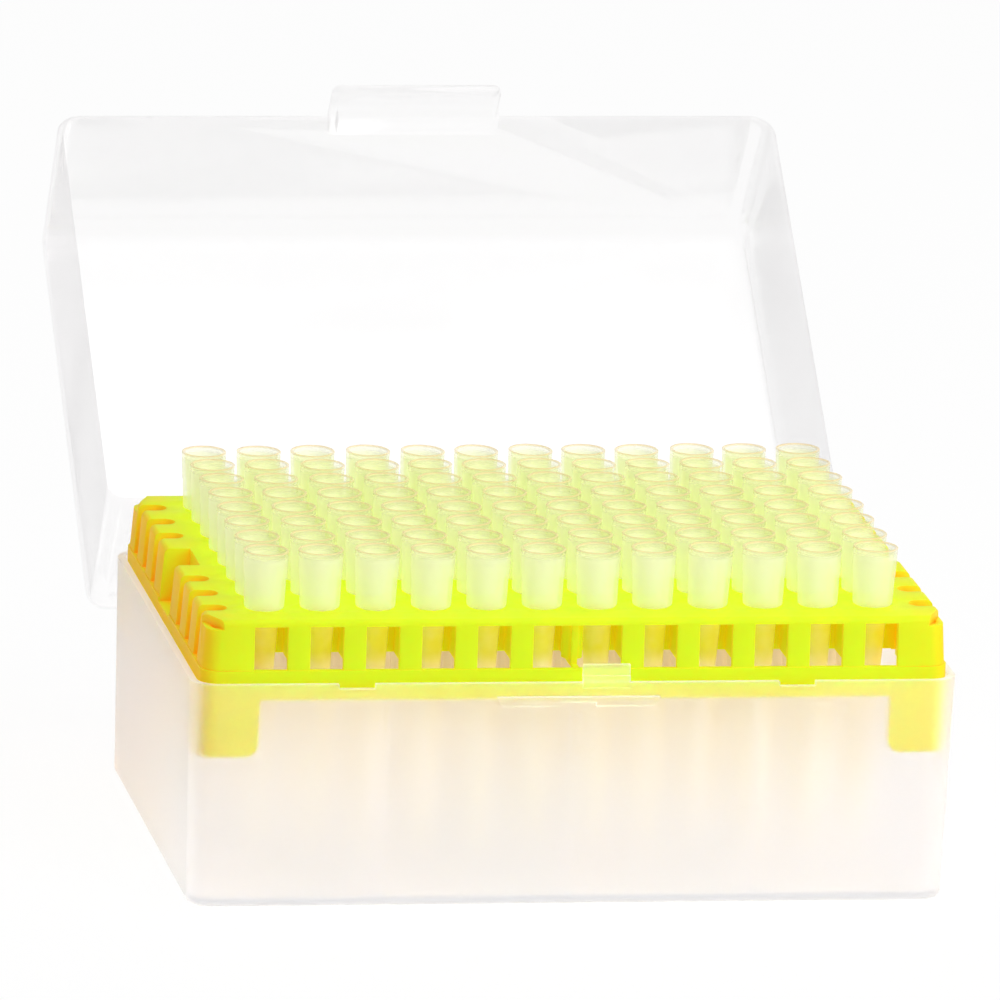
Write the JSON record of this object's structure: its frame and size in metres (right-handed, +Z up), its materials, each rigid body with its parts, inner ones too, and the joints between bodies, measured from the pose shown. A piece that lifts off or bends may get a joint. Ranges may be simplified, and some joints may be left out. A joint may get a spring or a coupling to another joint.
{
  "type": "box of pipette tips",
  "caption": "Hinged plastic laboratory box standing open, with a yellow rack of disposable pipette tips in a rectangular grid, a frosted base and a clear deep lid",
  "frame": {"origin": "centre of the base's flat underside, on the surface that the box stands on", "axes": "+X runs along the long side to the right as seen from the latch, +Y from the latch at the front to the hinge at the back, +Z up"},
  "size_m": [0.1244, 0.1839, 0.0968],
  "materials": {
    "frosted_plastic": "frosted, translucent polypropylene",
    "yellow_plastic": "satin moulded polypropylene",
    "clear_plastic": "clear, smooth",
    "tip_plastic": "natural translucent polypropylene"
  },
  "bodies": {
    "base": {"base_box": "frosted_plastic", "tip_rack": "yellow_plastic", "tips_column_01_a": "tip_plastic", "tips_column_01_b": "tip_plastic", "tips_column_02_a": "tip_plastic", "tips_column_02_b": "tip_plastic", "tips_column_03_a": "tip_plastic", "tips_column_03_b": "tip_plastic", "tips_column_04_a": "tip_plastic", "tips_column_04_b": "tip_plastic", "tips_column_05_a": "tip_plastic", "tips_column_05_b": "tip_plastic", "tips_column_06_a": "tip_plastic", "tips_column_06_b": "tip_plastic", "tips_column_07_a": "tip_plastic", "tips_column_07_b": "tip_plastic", "tips_column_08_a": "tip_plastic", "tips_column_08_b": "tip_plastic", "tips_column_09_a": "tip_plastic", "tips_column_09_b": "tip_plastic", "tips_column_10_a": "tip_plastic", "tips_column_10_b": "tip_plastic", "tips_column_11_a": "tip_plastic", "tips_column_11_b": "tip_plastic", "tips_column_12_a": "tip_plastic", "tips_column_12_b": "tip_plastic"},
    "lid": {"lid": "clear_plastic"}
  },
  "joints": [
    {"name": "lid_hinge", "type": "hinge", "parent": "base", "child": "lid", "pos_m": [0, 0.0498, 0.0369], "axis": [1, 0, 0], "range_deg": [0, 143.5]}
  ]
}
